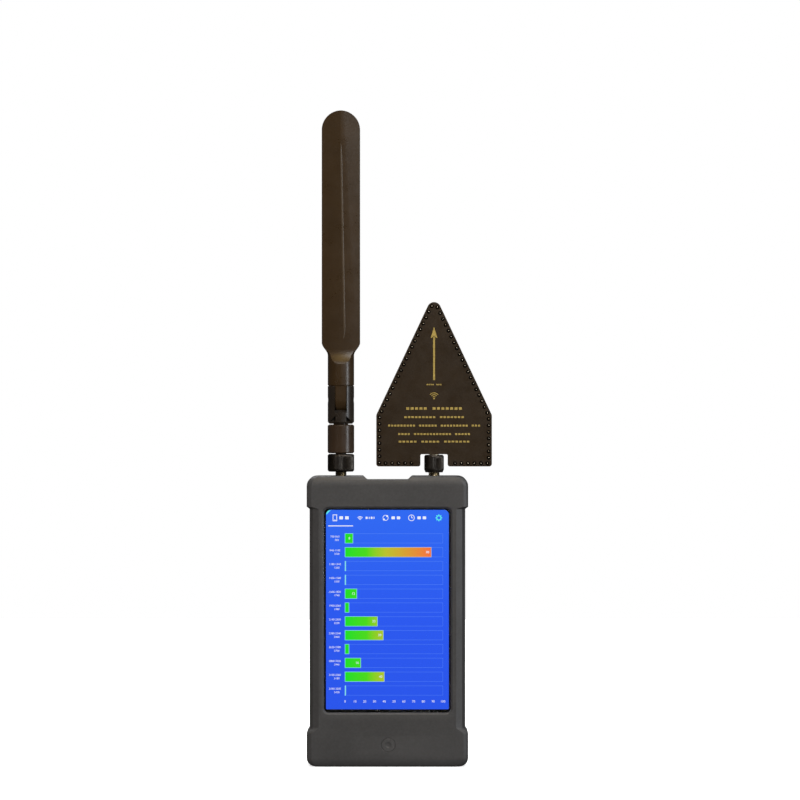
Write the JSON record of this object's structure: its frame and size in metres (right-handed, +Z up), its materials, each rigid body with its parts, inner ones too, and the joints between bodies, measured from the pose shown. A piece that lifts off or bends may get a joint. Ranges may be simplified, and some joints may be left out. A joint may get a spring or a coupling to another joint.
{
  "type": "handheld spectrum analyzer",
  "caption": "Handheld spectrum analyzer in a rubber boot, with a lit bar display, a folding paddle antenna and a flat pointed directional antenna.",
  "frame": {"origin": "centre of the flat bottom face of the boot, on the surface it stands on", "axes": "+Z up along the antennas, -Y out of the display, +X towards the pointed antenna's side"},
  "size_m": [0.1004, 0.03, 0.3553],
  "materials": {
    "grey_silicone": "matt moulded silicone with a faint sheen",
    "black_plastic": "fine textured moulding",
    "seal_rubber": "matt",
    "cover_glass": "polished",
    "lit_display": "lit panel",
    "white_plastic": "smooth",
    "circuit_board": "solder mask",
    "tinned_steel": "tinned",
    "screw_steel": "blackened",
    "battery_wrap": "foil wrap",
    "jack_metal": "plated, machined",
    "gold_plate": "gold plated",
    "lead_jacket": "smooth jacket",
    "black_metal": "black plated, knurled",
    "antenna_plastic": "satin moulding",
    "board_mask": "black solder mask with gold print"
  },
  "bodies": {
    "analyzer": {"boot": "grey_silicone", "front_case": "black_plastic", "rear_case": "black_plastic", "case_seal": "seal_rubber", "case_screw_1": "screw_steel", "case_screw_2": "screw_steel", "case_screw_3": "screw_steel", "case_screw_4": "screw_steel", "cover_glass": "cover_glass", "display_panel": "lit_display", "backlight": "white_plastic", "main_board": "circuit_board", "radio_shield": "tinned_steel", "processor_shield": "tinned_steel", "battery": "battery_wrap", "battery_tray": "black_plastic", "speaker": "black_plastic", "vibration_motor": "tinned_steel", "power_switch": "black_plastic", "usb_socket": "tinned_steel", "paddle_jack": "jack_metal", "paddle_jack_insulator": "white_plastic", "paddle_jack_contact": "gold_plate", "paddle_jack_washer": "tinned_steel", "paddle_jack_nut": "tinned_steel", "paddle_lead": "lead_jacket", "pointer_jack": "jack_metal", "pointer_jack_insulator": "white_plastic", "pointer_jack_contact": "gold_plate", "pointer_jack_washer": "tinned_steel", "pointer_jack_nut": "tinned_steel", "pointer_lead": "lead_jacket"},
    "power_key": {"power_button": "black_plastic"},
    "paddle_stem": {"paddle_base": "black_metal", "paddle_retaining_ring": "tinned_steel", "paddle_plug_insulator": "white_plastic", "paddle_plug_pin": "gold_plate"},
    "paddle_coupling": {"paddle_nut": "black_metal"},
    "paddle_fork": {"paddle_knuckle": "antenna_plastic", "hinge_pin": "black_metal"},
    "paddle": {"paddle_neck": "antenna_plastic", "paddle_front": "antenna_plastic", "paddle_back": "antenna_plastic", "paddle_element": "circuit_board"},
    "pointer_carrier": {"pointer_retaining_ring": "tinned_steel"},
    "pointer_coupling": {"pointer_nut": "black_metal"},
    "pointer": {"pointer_board": "board_mask", "pointer_plug": "jack_metal", "pointer_plug_insulator": "white_plastic", "pointer_plug_pin": "gold_plate"}
  },
  "joints": [
    {"name": "power_press", "type": "slide", "parent": "analyzer", "child": "power_key", "axis": [-1, 0, 0], "range_m": [0, 0.0008], "stiffness_N_per_m": 600, "springref_m": -0.002},
    {"name": "paddle_lift", "type": "slide", "parent": "analyzer", "child": "paddle_stem", "axis": [0, 0, 1], "range_m": [0, 0.00494]},
    {"name": "paddle_nut_turn", "type": "hinge", "parent": "paddle_stem", "child": "paddle_coupling", "pos_m": [-0.0253, 0, 0.1641], "axis": [0, 0, 1], "range_deg": [0, 2520]},
    {"name": "paddle_swivel", "type": "hinge", "parent": "paddle_stem", "child": "paddle_fork", "pos_m": [-0.0253, 0, 0.187], "axis": [0, 0, 1], "range_deg": [-180, 180]},
    {"name": "paddle_tilt", "type": "hinge", "parent": "paddle_fork", "child": "paddle", "pos_m": [-0.0253, 0, 0.1982], "axis": [-1, 0, 0], "range_deg": [0, 90]},
    {"name": "pointer_lift", "type": "slide", "parent": "analyzer", "child": "pointer_carrier", "axis": [0, 0, 1], "range_m": [0, 0.00494]},
    {"name": "pointer_nut_turn", "type": "hinge", "parent": "pointer_carrier", "child": "pointer_coupling", "pos_m": [0.0253, 0, 0.16365], "axis": [0, 0, 1], "range_deg": [0, 2520]},
    {"name": "pointer_swivel", "type": "hinge", "parent": "pointer_carrier", "child": "pointer", "pos_m": [0.0253, 0, 0.17], "axis": [0, 0, 1], "continuous": true}
  ],
  "couplings": [
    {"joint": "paddle_lift", "follows": "paddle_nut_turn", "m_per_rad": 0.00011229},
    {"joint": "pointer_lift", "follows": "pointer_nut_turn", "m_per_rad": 0.00011229}
  ]
}
